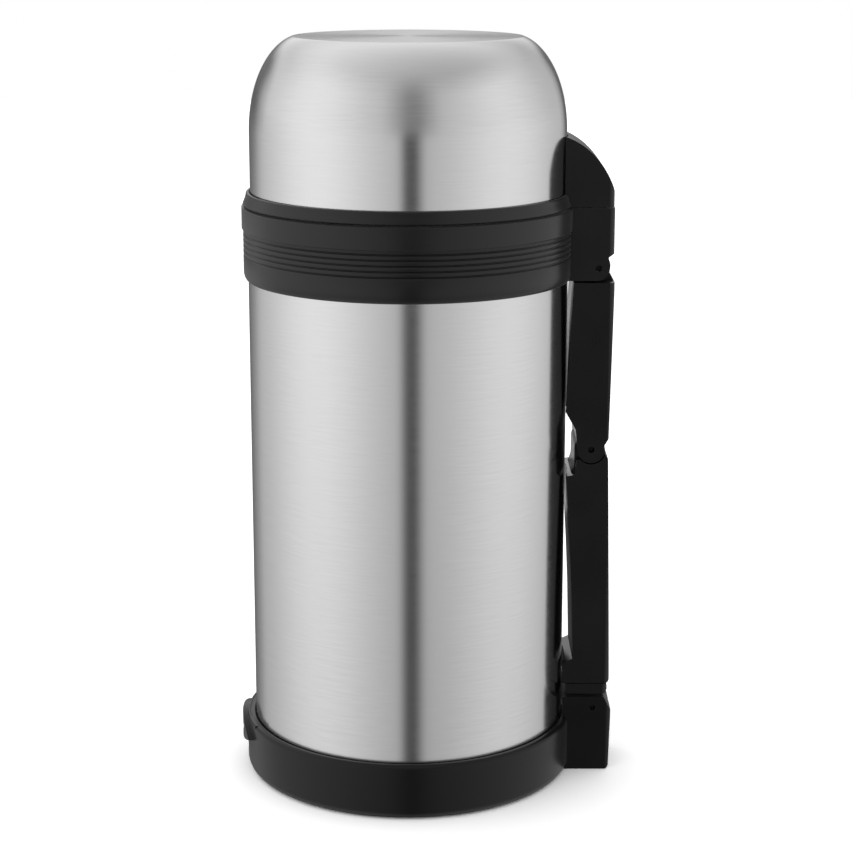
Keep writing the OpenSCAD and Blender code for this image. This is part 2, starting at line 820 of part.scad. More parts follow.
// Foot link: a knuckle in the foot bracket, a head, and the blade that the arm slides on
module foot_link() {
    color(black_plastic)
        difference() {
            union() {
                translate([foot_axis[0], 0, foot_axis[1]]) {
                    along_y(knuckle_w)
                        link_knuckle_outline();
                    intersection() {
                        along_y(handle_w)
                            link_head_outline();
                        translate([-body_r - foot_pin_out, 0, 0])
                            linear_extrude(2 * head_top)
                                arm_plan(body_r + head_out);
                    }
                }
                along_foot_line() {
                    translate([-blade_t / 2, -blade_w / 2, head_bottom + 1])
                        cube([blade_t, blade_w, blade_len - head_bottom - 1]);
                    translate([-blade_t / 2, -(blade_w + stop_w) / 2, blade_len - stop_h])
                        cube([blade_t, blade_w + stop_w, stop_h]);
                }
            }
            across(foot_axis, pin_r + run_fit, 2 * handle_w);
        }
}

// Half section of the cup at a given depth below its outer surface
function cup_section(inset, foot) =
    let (a = dome_a - inset,
         b = dome_b - inset,
         last = asin((dome_h - inset) / b))
    concat(
        [[0, foot], [cup_r - inset, foot]],
        arc([cup_r - dome_a, dome_z], a, b, 0, last, 14),
        [[0, cup_top - inset]]);

// One wall of the cup, between two depths
module cup_wall(outside, inside) {
    rotate_extrude($fn = 128)
        difference() {
            polygon(cup_section(outside, cup_foot));
            polygon(cup_section(inside, cup_foot - 1));
        }
}

// Steel outside of the cup
module cup_shell() {
    color(steel)
        cup_wall(0, cup_sheet);
}

// Moulded inside of the cup
module cup_liner() {
    color(pale_plastic)
        cup_wall(liner_inset, liner_inset + cup_liner_t);
}

// Side outline of the cup's grip: part of an ellipse, above the rim
module grip_outline() {
    start = asin((rim_z - grip_centre[1]) / grip_b);
    polygon(concat(
        [[blank_x, rim_z]],
        arc(grip_centre, grip_a, grip_b, start, 90, 24),
        [[blank_x, grip_centre[1] + grip_b]]));
}

// Rim ring that holds the cup's two walls, with the grip that rises beside the wall
module cup_rim() {
    ring_top = rim_z + rim_h;
    gap_z = ring_top - cup_gap_d;
    wall_r = cup_r + tight_fit;
    shelf_r = rim_r - 1.2;
    profile = [
        [cup_inner_r, rim_z], [rim_r - 0.1, rim_z], [rim_r, rim_z + 0.4], [rim_r - 0.8, rim_z + 2.4],
        [shelf_r, ring_top - 0.5], [shelf_r - 0.7, ring_top], [wall_r + cup_gap_w, ring_top],
        [wall_r + cup_gap_w, gap_z], [wall_r, gap_z], [wall_r, cup_foot], [cup_inner_r, cup_foot],
    ];
    color(grey_plastic)
        union() {
            rotate_extrude($fn = 128)
                polygon(profile);
            difference() {
                union() {
                    intersection() {
                        along_y(handle_w + 2)
                            grip_outline();
                        translate([0, 0, rim_z])
                            linear_extrude(2 * grip_b)
                                arm_plan(grip_out);
                    }
                    translate([0, 0, rim_z])
                        linear_extrude(rim_h - 0.5)
                            bracket_plan(shelf_r, grip_out - 2, bracket_fillet_r);
                }
                translate([0, 0, rim_z - 1])
                    cylinder(h = 3 * grip_b, r = wall_r, $fn = 128);
                translate([0, 0, gap_z])
                    cylinder(h = 3 * grip_b, r = wall_r + cup_gap_w, $fn = 128);
            }
        }
}

// Stopper: a plug in the neck, a grip flange with a pouring notch, and a well for the button
module stopper_body() {
    profile = [
        [stem_r + run_fit, plug_z], [plug_r - 1.5, plug_z], [plug_r, plug_z + 1.5], [plug_r, flange_z],
        [flange_d / 2, flange_z], [flange_d / 2, flange_top - 1.2], [flange_d / 2 - 1.2, flange_top],
        [well_r, flange_top], [well_r, well_z], [stem_r + run_fit, well_z],
    ];
    color(black_plastic)
        difference() {
            rotate_extrude($fn = 96)
                polygon(profile);
            for (i = [0:port_count - 1])
                rotate([0, 0, 45 + i * 360 / port_count])
                    translate([port_ring_r, 0, plug_z - 1])
                        cylinder(h = well_z - plug_z + 2, d = port_d);
            translate([-flange_d, -spout_w / 2, flange_z + 1.2])
                cube([flange_d - button_r, spout_w, flange_h - 1.2 - retainer_t]);
        }
}

// Sealing ring between the stopper's flange and the lip of the neck
module stopper_seal() {
    inner_r = plug_r + tight_fit;
    color(silicone)
        rotate_extrude($fn = 96)
            polygon([[inner_r, lip_top], [neck_r, lip_top], [neck_r, flange_z], [inner_r, flange_z]]);
}

// Ring that keeps the button in its well
module button_retainer() {
    color(black_plastic)
        rotate_extrude($fn = 96)
            polygon([
                [button_r + 0.2, flange_top - retainer_t], [well_r - tight_fit, flange_top - retainer_t],
                [well_r - tight_fit, flange_top], [button_r + 0.2, flange_top],
            ]);
}

// Push button with its retaining flange and the boss that takes the stem
module pour_button() {
    top = flange_top + button_rise;
    color(grey_plastic)
        rotate_extrude($fn = 96)
            polygon([
                [0, button_z], [stem_r + tight_fit, button_z], [stem_r + tight_fit, button_z - boss_h],
                [boss_r, button_z - boss_h], [boss_r, button_z], [button_flange_r, button_z],
                [button_flange_r, button_z + button_flange_t], [button_r, button_z + button_flange_t],
                [button_r, top - 0.8], [button_r - 0.8, top], [button_r - 3, top], [0, top - 0.8],
            ]);
}

// Stem from the button down to the valve
module valve_stem() {
    color(steel)
        translate([0, 0, plug_z - valve_gap - valve_t])
            cylinder(h = button_z - plug_z + valve_gap + valve_t, r = stem_r);
}

// Sealing disc at the stem's lower end, under the plug's passages
module valve_seal() {
    color(silicone)
        rotate_extrude($fn = 96)
            translate([stem_r + tight_fit, plug_z - valve_gap - valve_t])
                square([valve_d / 2 - stem_r - tight_fit, valve_t]);
}

// Coil spring under the button, one unbroken wire
module button_spring() {
    steps = 12;
    sides = 6;
    wire_r = wire_d / 2;
    rings = spring_turns * steps;
    low = well_z + wire_r + 0.05;
    high = button_z - wire_r - 0.05;
    pitch = (high - low) / spring_turns;
    points = [
        for (i = [0:rings]) for (j = [0:sides - 1])
            let (turn = 360 * i / steps, side = 360 * j / sides, r = spring_r + wire_r * cos(side))
            [r * cos(turn), r * sin(turn), low + pitch * i / steps + wire_r * sin(side)]
    ];
    walls = [
        for (i = [0:rings - 1]) for (j = [0:sides - 1])
            let (a = i * sides + j, b = i * sides + (j + 1) % sides)
            each [[a, a + sides, b], [b, a + sides, b + sides]]
    ];
    last = rings * sides;
    ends = [for (j = [1:sides - 2]) each [[0, j, j + 1], [last, last + j + 1, last + j]]];
    middles = [
        for (i = [0:rings])
            let (t = 360 * i / steps)
            [spring_r * cos(t), spring_r * sin(t), pitch * i / steps]
    ];
    gaps = [for (i = [0:rings]) for (j = [i + steps / 2:1:rings]) norm(middles[i] - middles[j]) - wire_d];
    echo(least_gap_between_turns = min(gaps));
    color(steel)
        polyhedron(points, concat(walls, ends));
}

outer_shell();
inner_liner();
shell_base();
getter();
base_boot();
collar();
collar_gasket();
shoulder_pin();
foot_pin();
upper_arm();
elbow_pin();
lower_arm();
foot_link();
cup_shell();
cup_liner();
cup_rim();
stopper_body();
stopper_seal();
button_retainer();
pour_button();
valve_stem();
valve_seal();
button_spring();
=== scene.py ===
import math

import bmesh
import bpy
from mathutils import Matrix, Vector


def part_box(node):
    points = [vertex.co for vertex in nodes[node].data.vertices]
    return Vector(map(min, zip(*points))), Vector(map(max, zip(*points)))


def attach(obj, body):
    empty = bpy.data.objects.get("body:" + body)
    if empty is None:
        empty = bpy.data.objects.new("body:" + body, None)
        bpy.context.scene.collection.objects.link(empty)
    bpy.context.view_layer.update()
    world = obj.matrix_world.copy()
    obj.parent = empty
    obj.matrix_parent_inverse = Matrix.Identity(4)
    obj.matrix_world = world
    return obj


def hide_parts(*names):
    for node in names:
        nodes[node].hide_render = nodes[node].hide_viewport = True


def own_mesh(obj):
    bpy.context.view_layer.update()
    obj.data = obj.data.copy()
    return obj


# A steel vacuum jug with a moulded boot and collar, a screw-on cup and a folding handle.
# Lengths are in millimetres and become metres when a mesh is made.
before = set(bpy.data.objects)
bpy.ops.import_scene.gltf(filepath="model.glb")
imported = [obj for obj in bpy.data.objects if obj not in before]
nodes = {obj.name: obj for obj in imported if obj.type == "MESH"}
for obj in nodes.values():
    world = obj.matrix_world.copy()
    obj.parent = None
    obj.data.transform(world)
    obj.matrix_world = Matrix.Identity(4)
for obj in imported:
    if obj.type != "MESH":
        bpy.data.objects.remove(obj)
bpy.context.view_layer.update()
scene = bpy.context.scene

# Metres in a millimetre, and faces in a full turn
MM = 0.001
ROUND = 256
# Points closer than TINY are one point, and an edge below SHORT is a scrap that a cut leaves
TINY = 0.001
SHORT = 0.05
# Neighbouring faces that turn by less than this, in degrees, are one flat face
FLAT = 0.5


def reach(node):
    """Outer radius, lowest and highest height of a round CAD node, in millimetres."""
    low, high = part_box(node)
    return high.y / MM, low.z / MM, high.z / MM


body_r, body_foot, lip_z = reach("outer_shell")
boot_r = reach("base_boot")[0]
collar_r, collar_foot, spigot_top = reach("collar")
rim_r, rim_foot = reach("cup_rim")[:2]
cup_r, cup_foot, cup_top = reach("cup_shell")
stopper_r, plug_foot, flange_top = reach("stopper_body")
gasket_r, ledge_z = reach("collar_gasket")[:2]

# The collar and the boot slide over the body with this much room
shell_play = 0.15

# The brackets are as wide as the arm, and the cuts that free them pass just outside their cheeks
cut_room = 0.03
bracket_half = reach("upper_arm")[0] + cut_room


# Colours and nodes

def linear(hex_colour):
    """Linear RGBA of an sRGB hex colour."""
    channels = [int(hex_colour[i:i + 2], 16) / 255 for i in (1, 3, 5)]
    return [c / 12.92 if c <= 0.04045 else ((c + 0.055) / 1.055) ** 2.4 for c in channels] + [1.0]


def add_node(tree, kind, settings=None, inputs=None):
    """Adds one node. Inputs are values, or the sockets that feed them."""
    node = tree.nodes.new(kind)
    for name, value in (settings or {}).items():
        setattr(node, name, value)
    for name, value in (inputs or {}).items():
        if isinstance(value, bpy.types.NodeSocket):
            tree.links.new(value, node.inputs[name])
        else:
            node.inputs[name].default_value = value
    return node


def new_material(name, **values):
    """A material with a Principled shader, whose plain numbers are set on its sockets."""
    material = bpy.data.materials.new(name)
    material.use_nodes = True
    shader = material.node_tree.nodes["Principled BSDF"]
    for socket, value in values.items():
        shader.inputs[socket.replace("_", " ")].default_value = value
    return material, material.node_tree, shader


# Stainless sheet, brushed round the body on a lathe: level lines that blur reflections upwards and
# downwards and leave them nearly crisp from side to side. Real brushing is hair-fine, about 0.1 mm, and
# it is drawn three times as coarse so that it shows.
BRUSH_LINE = 0.3
BRUSH_LENGTH = 12
SMUDGE = 60


def brushed_steel(name, dark, light, roughness, line=BRUSH_LINE, depth=0.003):
    """Metal with fine lines round the jug's axis. The lines' width and depth are in millimetres."""
    streak = 0.03
    wear = 0.03
    material, tree, shader = new_material(
        name, Metallic=1.0, Anisotropic=0.6, Anisotropic_Rotation=0.25)
    place = add_node(tree, "ShaderNodeTexCoord").outputs["Object"]
    axes = add_node(tree, "ShaderNodeSeparateXYZ", inputs={0: place})
    flat = add_node(tree, "ShaderNodeCombineXYZ", inputs={0: axes.outputs[0], 1: axes.outputs[1]})
    radius = add_node(tree, "ShaderNodeVectorMath", {"operation": "LENGTH"}, {0: flat.outputs[0]})
    along = add_node(tree, "ShaderNodeMath", {"operation": "SUBTRACT"}, {
        0: axes.outputs[2], 1: radius.outputs["Value"]})
    stretched = add_node(tree, "ShaderNodeMath", {"operation": "MULTIPLY"}, {
        0: along.outputs[0], 1: BRUSH_LENGTH / line})
    lines_at = add_node(tree, "ShaderNodeCombineXYZ", inputs={
        0: axes.outputs[0], 1: axes.outputs[1], 2: stretched.outputs[0]})
    lines = add_node(tree, "ShaderNodeTexNoise", inputs={
        "Vector": lines_at.outputs[0], "Scale": 1 / (BRUSH_LENGTH * MM), "Detail": 3.0, "Roughness": 0.65})
    smudges = add_node(tree, "ShaderNodeTexNoise", inputs={
        "Vector": place, "Scale": 1 / (SMUDGE * MM), "Detail": 2.0})
    tint = add_node(tree, "ShaderNodeMix", {"data_type": "RGBA"}, {
        0: lines.outputs["Fac"], 6: linear(dark), 7: linear(light)})
    grain = add_node(tree, "ShaderNodeMapRange", inputs={
        "Value": lines.outputs["Fac"], "From Min": 0.3, "From Max": 0.7,
        "To Min": roughness - streak, "To Max": roughness + streak})
    worn = add_node(tree, "ShaderNodeMath", {"operation": "MULTIPLY_ADD"}, {
        0: smudges.outputs["Fac"], 1: wear, 2: grain.outputs[0]})
    bump = add_node(tree, "ShaderNodeBump", inputs={
        "Height": lines.outputs["Fac"], "Strength": 0.25, "Distance": depth * MM})
    tree.links.new(tint.outputs[2], shader.inputs["Base Color"])
    tree.links.new(worn.outputs[0], shader.inputs["Roughness"])
    tree.links.new(bump.outputs[0], shader.inputs["Normal"])
    return material


# Plastic moulded in a spark-eroded tool: an even grain that softens its gloss, a bloom that lights up
# towards the edges, and slow flow marks from the moulding. Real grain is finer than the render can show,
# and it is drawn at about three times its size.
GRAIN = 0.35
FLOW_MARK = 18


def moulded_plastic(name, colour, flowed, roughness, shine=0.5, grain=GRAIN, depth=0.006, bloom=0.0):
    """Plastic with a moulded grain. The grain's width and depth are in millimetres."""
    unevenness = 0.02
    material, tree, shader = new_material(
        name, IOR=1.49, Specular_IOR_Level=shine, Sheen_Weight=bloom, Sheen_Roughness=0.3)
    place = add_node(tree, "ShaderNodeTexCoord").outputs["Object"]
    pits = add_node(tree, "ShaderNodeTexNoise", inputs={
        "Vector": place, "Scale": 1 / (grain * MM), "Detail": 2.0, "Roughness": 0.6})
    flow = add_node(tree, "ShaderNodeTexNoise", inputs={
        "Vector": place, "Scale": 1 / (FLOW_MARK * MM), "Detail": 3.0})
    tint = add_node(tree, "ShaderNodeMix", {"data_type": "RGBA"}, {
        0: flow.outputs["Fac"], 6: linear(colour), 7: linear(flowed)})
    gloss = add_node(tree, "ShaderNodeMapRange", inputs={
        "Value": flow.outputs["Fac"], "From Min": 0.35, "From Max": 0.65,
        "To Min": roughness - unevenness, "To Max": roughness + unevenness})
    bump = add_node(tree, "ShaderNodeBump", inputs={
        "Height": pits.outputs["Fac"], "Strength": 0.35, "Distance": depth * MM})
    tree.links.new(tint.outputs[2], shader.inputs["Base Color"])
    tree.links.new(gloss.outputs[0], shader.inputs["Roughness"])
    tree.links.new(bump.outputs[0], shader.inputs["Normal"])
    return material


# Silicone rubber pressed in a smooth mould: dull, slightly cloudy and soft to the light.
CLOUD = 4


def moulded_silicone(name, colour, cloudy):
    """Rubber that lets a little light in, with faint clouds in its colour and its dullness."""
    material, tree, shader = new_material(name, IOR=1.41, Subsurface_Weight=0.15, Subsurface_Scale=0.002)
    place = add_node(tree, "ShaderNodeTexCoord").outputs["Object"]
    cloud = add_node(tree, "ShaderNodeTexNoise", inputs={
        "Vector": place, "Scale": 1 / (CLOUD * MM), "Detail": 3.0})
    tint = add_node(tree, "ShaderNodeMix", {"data_type": "RGBA"}, {
        0: cloud.outputs["Fac"], 6: linear(colour), 7: linear(cloudy)})
    dull = add_node(tree, "ShaderNodeMapRange", inputs={
        "Value": cloud.outputs["Fac"], "To Min": 0.5, "To Max": 0.65})
    tree.links.new(tint.outputs[2], shader.inputs["Base Color"])
    tree.links.new(dull.outputs[0], shader.inputs["Roughness"])
    return material


# Body: brushed sheet, a satin grey that draws reflections out into tall soft bands
body_steel = brushed_steel("stainless_steel_brushed", "#bdbdbe", "#cdcdce", roughness=0.185)
# Cup: sheet spun to a dome, a little brighter, with lines that ring its top
cup_steel = brushed_steel("stainless_steel_spun", "#c0c0c1", "#cfcfd0", roughness=0.18)
# Vessel and stem: electropolished, a smooth warm grey with broad faint waves in place of lines
vessel_steel = brushed_steel(
    "stainless_steel_electropolished", "#bcbab6", "#c6c4c0", roughness=0.2, line=1.2, depth=0.004)
# Hinge pins: ground steel coloured near black, which is painted shade for their ends down in their holes
pin_steel = brushed_steel("steel_bar_ground_painted_shade", "#1c1c1c", "#2a2a2a", roughness=0.35)
# Spring: drawn wire, light grey with finer lines than the sheet's
wire_steel = brushed_steel("stainless_wire_drawn", "#a9a9a7", "#b9b9b7", roughness=0.25, line=0.2)
# Getter: sintered powder, a rough warm grey with hardly any gloss
getter_metal = brushed_steel("sintered_getter_alloy", "#77746f", "#8b8781", roughness=0.55, depth=0.02)
# Collar and cup rim: dark plastic that looks grey because its grain blooms in the light
collar_plastic = moulded_plastic(
    "polypropylene_grey_moulded", "#050506", "#080809", roughness=0.3, shine=0.37, bloom=0.18)
# Boot: a blacker plastic with less gloss and less bloom
boot_plastic = moulded_plastic(
    "polypropylene_black_moulded", "#020203", "#040405", roughness=0.3, shine=0.26, bloom=0.14)
# Handle: glass-filled, near black with an even satin gloss and no bloom
handle_plastic = moulded_plastic(
    "glass_filled_nylon_black_moulded", "#060606", "#0a0a0a", roughness=0.28, shine=0.33)
# Stopper: charcoal and duller than the handle
stopper_plastic = moulded_plastic(
    "polypropylene_stopper_moulded", "#151516", "#1b1b1c", roughness=0.36, shine=0.4)
# Button: from a polished tool, a clean mid grey with a clear gloss
button_plastic = moulded_plastic(
    "abs_grey_polished", "#3c3d3f", "#434446", roughness=0.2, grain=0.6, depth=0.002)
# Inside of the cup: from a smooth tool, a warm white with a soft gloss
liner_plastic = moulded_plastic(
    "polypropylene_white_moulded", "#d9d7d0", "#e2e0da", roughness=0.3, grain=0.6, depth=0.002)
# Seals: pale grey, dull and a little cloudy
silicone = moulded_silicone("silicone_rubber_moulded", "#b4b5b1", "#c4c5c1")


# Meshes

def arc(centre, a, b, start, end, steps):
    """Points of an ellipse's arc in a half section, from one angle to another."""
    angles = [math.radians(start + (end - start) * i / steps) for i in range(steps + 1)]
    return [(centre[0] + a * math.cos(t), centre[1] + b * math.sin(t)) for t in angles]


def finish_mesh(bm, name, sharp=35):
    """Turns a bmesh into an object with outward faces, smooth but for its sharp edges."""
    bmesh.ops.recalc_face_normals(bm, faces=bm.faces)
    for face in bm.faces:
        face.smooth = True
    limit = math.radians(sharp)
    for edge in bm.edges:
        edge.smooth = len(edge.link_faces) == 2 and edge.calc_face_angle() < limit
    mesh = bpy.data.meshes.new(name)
    bm.to_mesh(mesh)
    bm.free()
    piece = bpy.data.objects.new(name, mesh)
    scene.collection.objects.link(piece)
    return piece


def lathe(name, section, sharp=35):
    """A closed solid of revolution about Z, from a closed half section in millimetres."""
    bm = bmesh.new()
    turns = [2 * math.pi * i / ROUND for i in range(ROUND)]
    rings = []
    for radius, height in section:
        if radius < TINY:
            rings.append([bm.verts.new((0, 0, height * MM))] * ROUND)
            continue
        rings.append([bm.verts.new((radius * MM * math.cos(t), radius * MM * math.sin(t), height * MM))
                      for t in turns])
    for lower, upper in zip(rings, rings[1:] + rings[:1]):
        for i in range(ROUND):
            j = (i + 1) % ROUND
            corners = list(dict.fromkeys([lower[i], lower[j], upper[j], upper[i]]))
            if len(corners) > 2:
                bm.faces.new(corners)
    return finish_mesh(bm, name, sharp)


def join_flat(bm):
    """Joins neighbouring faces that lie in one plane."""
    bmesh.ops.dissolve_limit(bm, angle_limit=math.radians(FLAT), verts=bm.verts, edges=bm.edges)


def merged_copy(node):
    """A copy of a CAD node as a bmesh, with its loose triangles joined into clean faces."""
    bm = bmesh.new()
    bm.from_mesh(nodes[node].data)
    bmesh.ops.remove_doubles(bm, verts=bm.verts, dist=TINY * MM)
    join_flat(bm)
    return bm


def cut_away(bm, point, normal):
    """Takes off what lies behind a plane and closes the cut."""
    geometry = bm.verts[:] + bm.edges[:] + bm.faces[:]
    cut = bmesh.ops.bisect_plane(
        bm, geom=geometry, plane_co=Vector(point) * MM, plane_no=normal, clear_inner=True)
    edges = [g for g in cut["geom_cut"] if isinstance(g, bmesh.types.BMEdge)]
    bmesh.ops.triangle_fill(bm, edges=edges, use_beauty=True)


def outgrowth(node, side, half):
    """The part of a CAD ring that grows outwards along X, cut free where the ring's wall hides the cut."""
    root = 57
    bm = merged_copy(node)
    cut_away(bm, (side * root, 0, 0), (side, 0, 0))
    cut_away(bm, (0, -half, 0), (0, 1, 0))
    cut_away(bm, (0, half, 0), (0, -1, 0))
    bmesh.ops.dissolve_degenerate(bm, dist=SHORT * MM, edges=bm.edges)
    join_flat(bm)
    return bm


def applied(piece):
    """Turns a piece's modifiers into plain mesh."""
    evaluated = piece.evaluated_get(bpy.context.evaluated_depsgraph_get())
    mesh = bpy.data.meshes.new_from_object(evaluated)
    piece.modifiers.clear()
    piece.data = mesh
    return piece


def soften(piece, width):
    """Rounds a piece's edges as a mould does, and keeps its flat faces flat to the light."""
    bevel = piece.modifiers.new("bevel", "BEVEL")
    bevel.width = width * MM
    bevel.segments = 3
    bevel.limit_method = "ANGLE"
    bevel.angle_limit = math.radians(28)
    bevel.use_clamp_overlap = True
    weighted = piece.modifiers.new("weighted", "WEIGHTED_NORMAL")
    weighted.keep_sharp = True
    return applied(piece)


def dress(piece, material, body, slot, *replaced):
    """Gives a piece its material and its body, and hides the CAD nodes that it stands for. Its slot is not
    used.
    """
    piece.data.materials.clear()
    piece.data.materials.append(material)
    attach(piece, body)
    if replaced:
        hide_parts(*replaced)
    return piece


# Screw threads, the button's spring and grip ribs, grown by geometry nodes

def size_tree(name, **kinds):
    """A geometry tree with named sizes for inputs and a material. Gives the tree and its input sockets."""
    tree = bpy.data.node_groups.new(name, "GeometryNodeTree")
    for label, kind in kinds.items():
        tree.interface.new_socket(label, in_out="INPUT", socket_type="NodeSocket" + kind)
    tree.interface.new_socket("Material", in_out="INPUT", socket_type="NodeSocketMaterial")
    tree.interface.new_socket("Geometry", in_out="OUTPUT", socket_type="NodeSocketGeometry")
    return tree, add_node(tree, "NodeGroupInput").outputs


def close_tree(tree, shape, foot, material):
    """Lifts a tree's shape to its height, makes it plain mesh and gives it its material."""
    lift = add_node(tree, "ShaderNodeCombineXYZ", inputs={2: foot})
    placed = add_node(tree, "GeometryNodeTransform", inputs={
        "Geometry": shape, "Translation": lift.outputs[0]})
    real = add_node(tree, "GeometryNodeRealizeInstances", inputs={0: placed.outputs[0]})
    coated = add_node(tree, "GeometryNodeSetMaterial", inputs={
        "Geometry": real.outputs[0], "Material": material})
    add_node(tree, "NodeGroupOutput", inputs={"Geometry": coated.outputs[0]})


def wound_tree():
    """A round bead wound up a cylinder: a spring's wire, or a thread that thins out over its ends."""
    steps_in_turn = 120
    bead_sides = 10
    thin_end = 0.05
    middle = 0.5
    tree, size = size_tree(
        "wound_bead", Radius="Float", Pitch="Float", Turns="Float", Bead="Float", Ends="Float",
        Foot="Float")
    rise = add_node(tree, "ShaderNodeMath", {"operation": "MULTIPLY"}, {
        0: size["Pitch"], 1: size["Turns"]})
    climb = add_node(tree, "GeometryNodeCurveSpiral", inputs={
        "Resolution": steps_in_turn, "Rotations": size["Turns"], "Start Radius": size["Radius"],
        "End Radius": size["Radius"], "Height": rise.outputs[0]})
    along = add_node(tree, "GeometryNodeSplineParameter").outputs["Factor"]
    aside = add_node(tree, "ShaderNodeMath", {"operation": "SUBTRACT"}, {0: along, 1: middle})
    off = add_node(tree, "ShaderNodeMath", {"operation": "ABSOLUTE"}, {0: aside.outputs[0]})
    full = add_node(tree, "ShaderNodeMath", {"operation": "SUBTRACT"}, {0: middle, 1: size["Ends"]})
    taper = add_node(tree, "ShaderNodeMapRange", inputs={
        "Value": off.outputs[0], "From Min": middle, "From Max": full.outputs[0],
        "To Min": thin_end, "To Max": 1.0})
    wire = add_node(tree, "GeometryNodeCurvePrimitiveCircle", inputs={
        "Resolution": bead_sides, "Radius": size["Bead"]})
    bead = add_node(tree, "GeometryNodeCurveToMesh", inputs={
        "Curve": climb.outputs[0], "Profile Curve": wire.outputs[0], "Scale": taper.outputs[0],
        "Fill Caps": True})
    close_tree(tree, bead.outputs[0], size["Foot"], size["Material"])
    return tree


def rib_tree():
    """Upright half-round ribs set round a cylinder, but for a gap where the spout's notch opens on -X."""
    rib_sides = 12
    tree, size = size_tree(
        "grip_ribs", Radius="Float", Count="Int", Rib="Float", Length="Float", Gap="Float", Foot="Float")
    ring = add_node(tree, "GeometryNodeMeshCircle", inputs={
        "Vertices": size["Count"], "Radius": size["Radius"]})
    point = add_node(tree, "GeometryNodeInputPosition").outputs[0]
    place = add_node(tree, "ShaderNodeSeparateXYZ", inputs={0: point})
    edge = add_node(tree, "ShaderNodeMath", {"operation": "SUBTRACT"}, {0: size["Gap"], 1: size["Radius"]})
    open_side = add_node(tree, "FunctionNodeCompare", {"data_type": "FLOAT", "operation": "LESS_THAN"}, {
        0: place.outputs[0], 1: edge.outputs[0]})
    places = add_node(tree, "GeometryNodeDeleteGeometry", {"domain": "POINT"}, {
        "Geometry": ring.outputs[0], "Selection": open_side.outputs[0]})
    bar = add_node(tree, "GeometryNodeMeshCylinder", inputs={
        "Vertices": rib_sides, "Radius": size["Rib"], "Depth": size["Length"]})
    ribs = add_node(tree, "GeometryNodeInstanceOnPoints", inputs={
        "Points": places.outputs[0], "Instance": bar.outputs["Mesh"]})
    middle = add_node(tree, "ShaderNodeMath", {"operation": "MULTIPLY_ADD"}, {
        0: size["Length"], 1: 0.5, 2: size["Foot"]})
    close_tree(tree, ribs.outputs[0], middle.outputs[0], size["Material"])
    return tree


def grown(name, tree, **sizes):
    """A plain mesh that a geometry tree makes from its named sizes."""
    crease = 50
    piece = bpy.data.objects.new(name, bpy.data.meshes.new(name))
    scene.collection.objects.link(piece)
    modifier = piece.modifiers.new(name, "NODES")
    modifier.node_group = tree
    for socket in tree.interface.items_tree:
        if socket.in_out == "INPUT":
            modifier[socket.identifier] = sizes[socket.name]
    applied(piece)
    piece.data.shade_smooth()
    piece.data.set_sharp_from_angle(angle=math.radians(crease))
    return piece


wound_bead = wound_tree()
grip_ribs = rib_tree()


def thread(name, material, body, slot, radius, foot, pitch, turns, ridge):
    """A screw thread round a cylinder. Its ridge thins out over a share of its length at each end."""
    run_out = 0.08
    piece = grown(name, wound_bead, Radius=radius * MM, Pitch=pitch * MM, Turns=turns, Bead=ridge * MM,
                  Ends=run_out, Foot=foot * MM, Material=material)
    return dress(piece, material, body, slot)


# Steel body

def steel_body():
    """The brushed shell: an upright wall that bends in to a cone, a ledge for the gasket, and the neck."""
    wall = 0.8
    bend = 4
    bend_turn = 62
    wall_top = ledge_z - 13
    cone_in = 2
    cone_rise = 2.6
    ledge_edge_w = 1
    ledge_edge_h = 0.4
    neck_r = 30
    section = [(body_r - wall, body_foot), (body_r, body_foot)]
    section += arc((body_r - bend, wall_top), bend, bend, 0, bend_turn, 8)
    section += [(gasket_r + ledge_edge_w, ledge_z - ledge_edge_h), (gasket_r, ledge_z)]
    section += [(neck_r, ledge_z), (neck_r, lip_z)]
    section += [(neck_r - wall, lip_z), (neck_r - wall, ledge_z - wall), (gasket_r, ledge_z - wall)]
    section += [(body_r - cone_in - wall, wall_top + cone_rise), (body_r - wall, wall_top)]
    piece = lathe("body_shell", section)
    return dress(piece, body_steel, "jug_body", "body_steel", "outer_shell")


steel_body()


# Cup

cup_sheet = 0.6
cup_gap = 0.9
cup_liner_wall = 1.4
cup_bore_r = cup_r - cup_gap - cup_liner_wall
# The thread that the cup and the collar's spigot share
cup_screw = {"pitch": 4, "turns": 1.3, "ridge": 0.32}


def cup_section(inset):
    """Outer half section of one of the cup's walls, from its foot to the middle of its top."""
    dome_h = 34.5
    dome_end = 78
    dome_steps = 48
    top_r = 42.6
    top_edge = 1.2
    dome_a = (cup_r - top_r) / (1 - math.cos(math.radians(dome_end)))
    dome_b = dome_h / math.sin(math.radians(dome_end))
    last = math.degrees(math.asin((dome_h - inset) / (dome_b - inset)))
    centre = (cup_r - dome_a, cup_top - dome_h)
    curve = arc(centre, dome_a - inset, dome_b - inset, 0, last, dome_steps)
    edge_r, edge_z = curve[-1]
    return [(cup_r - inset, cup_foot)] + curve + [(edge_r - top_edge, edge_z), (0, edge_z)]


def cup_wall(name, outside, inside):
    """One of the cup's two walls, between two insets from its outside."""
    return lathe(name, cup_section(outside) + cup_section(inside)[::-1])


dress(cup_wall("cup_steel_wall", 0, cup_sheet), cup_steel, "cup", "cup_steel", "cup_shell")
dress(cup_wall("cup_liner_wall", cup_gap, cup_gap + cup_liner_wall),
      liner_plastic, "cup", "cup_liner_plastic", "cup_liner")


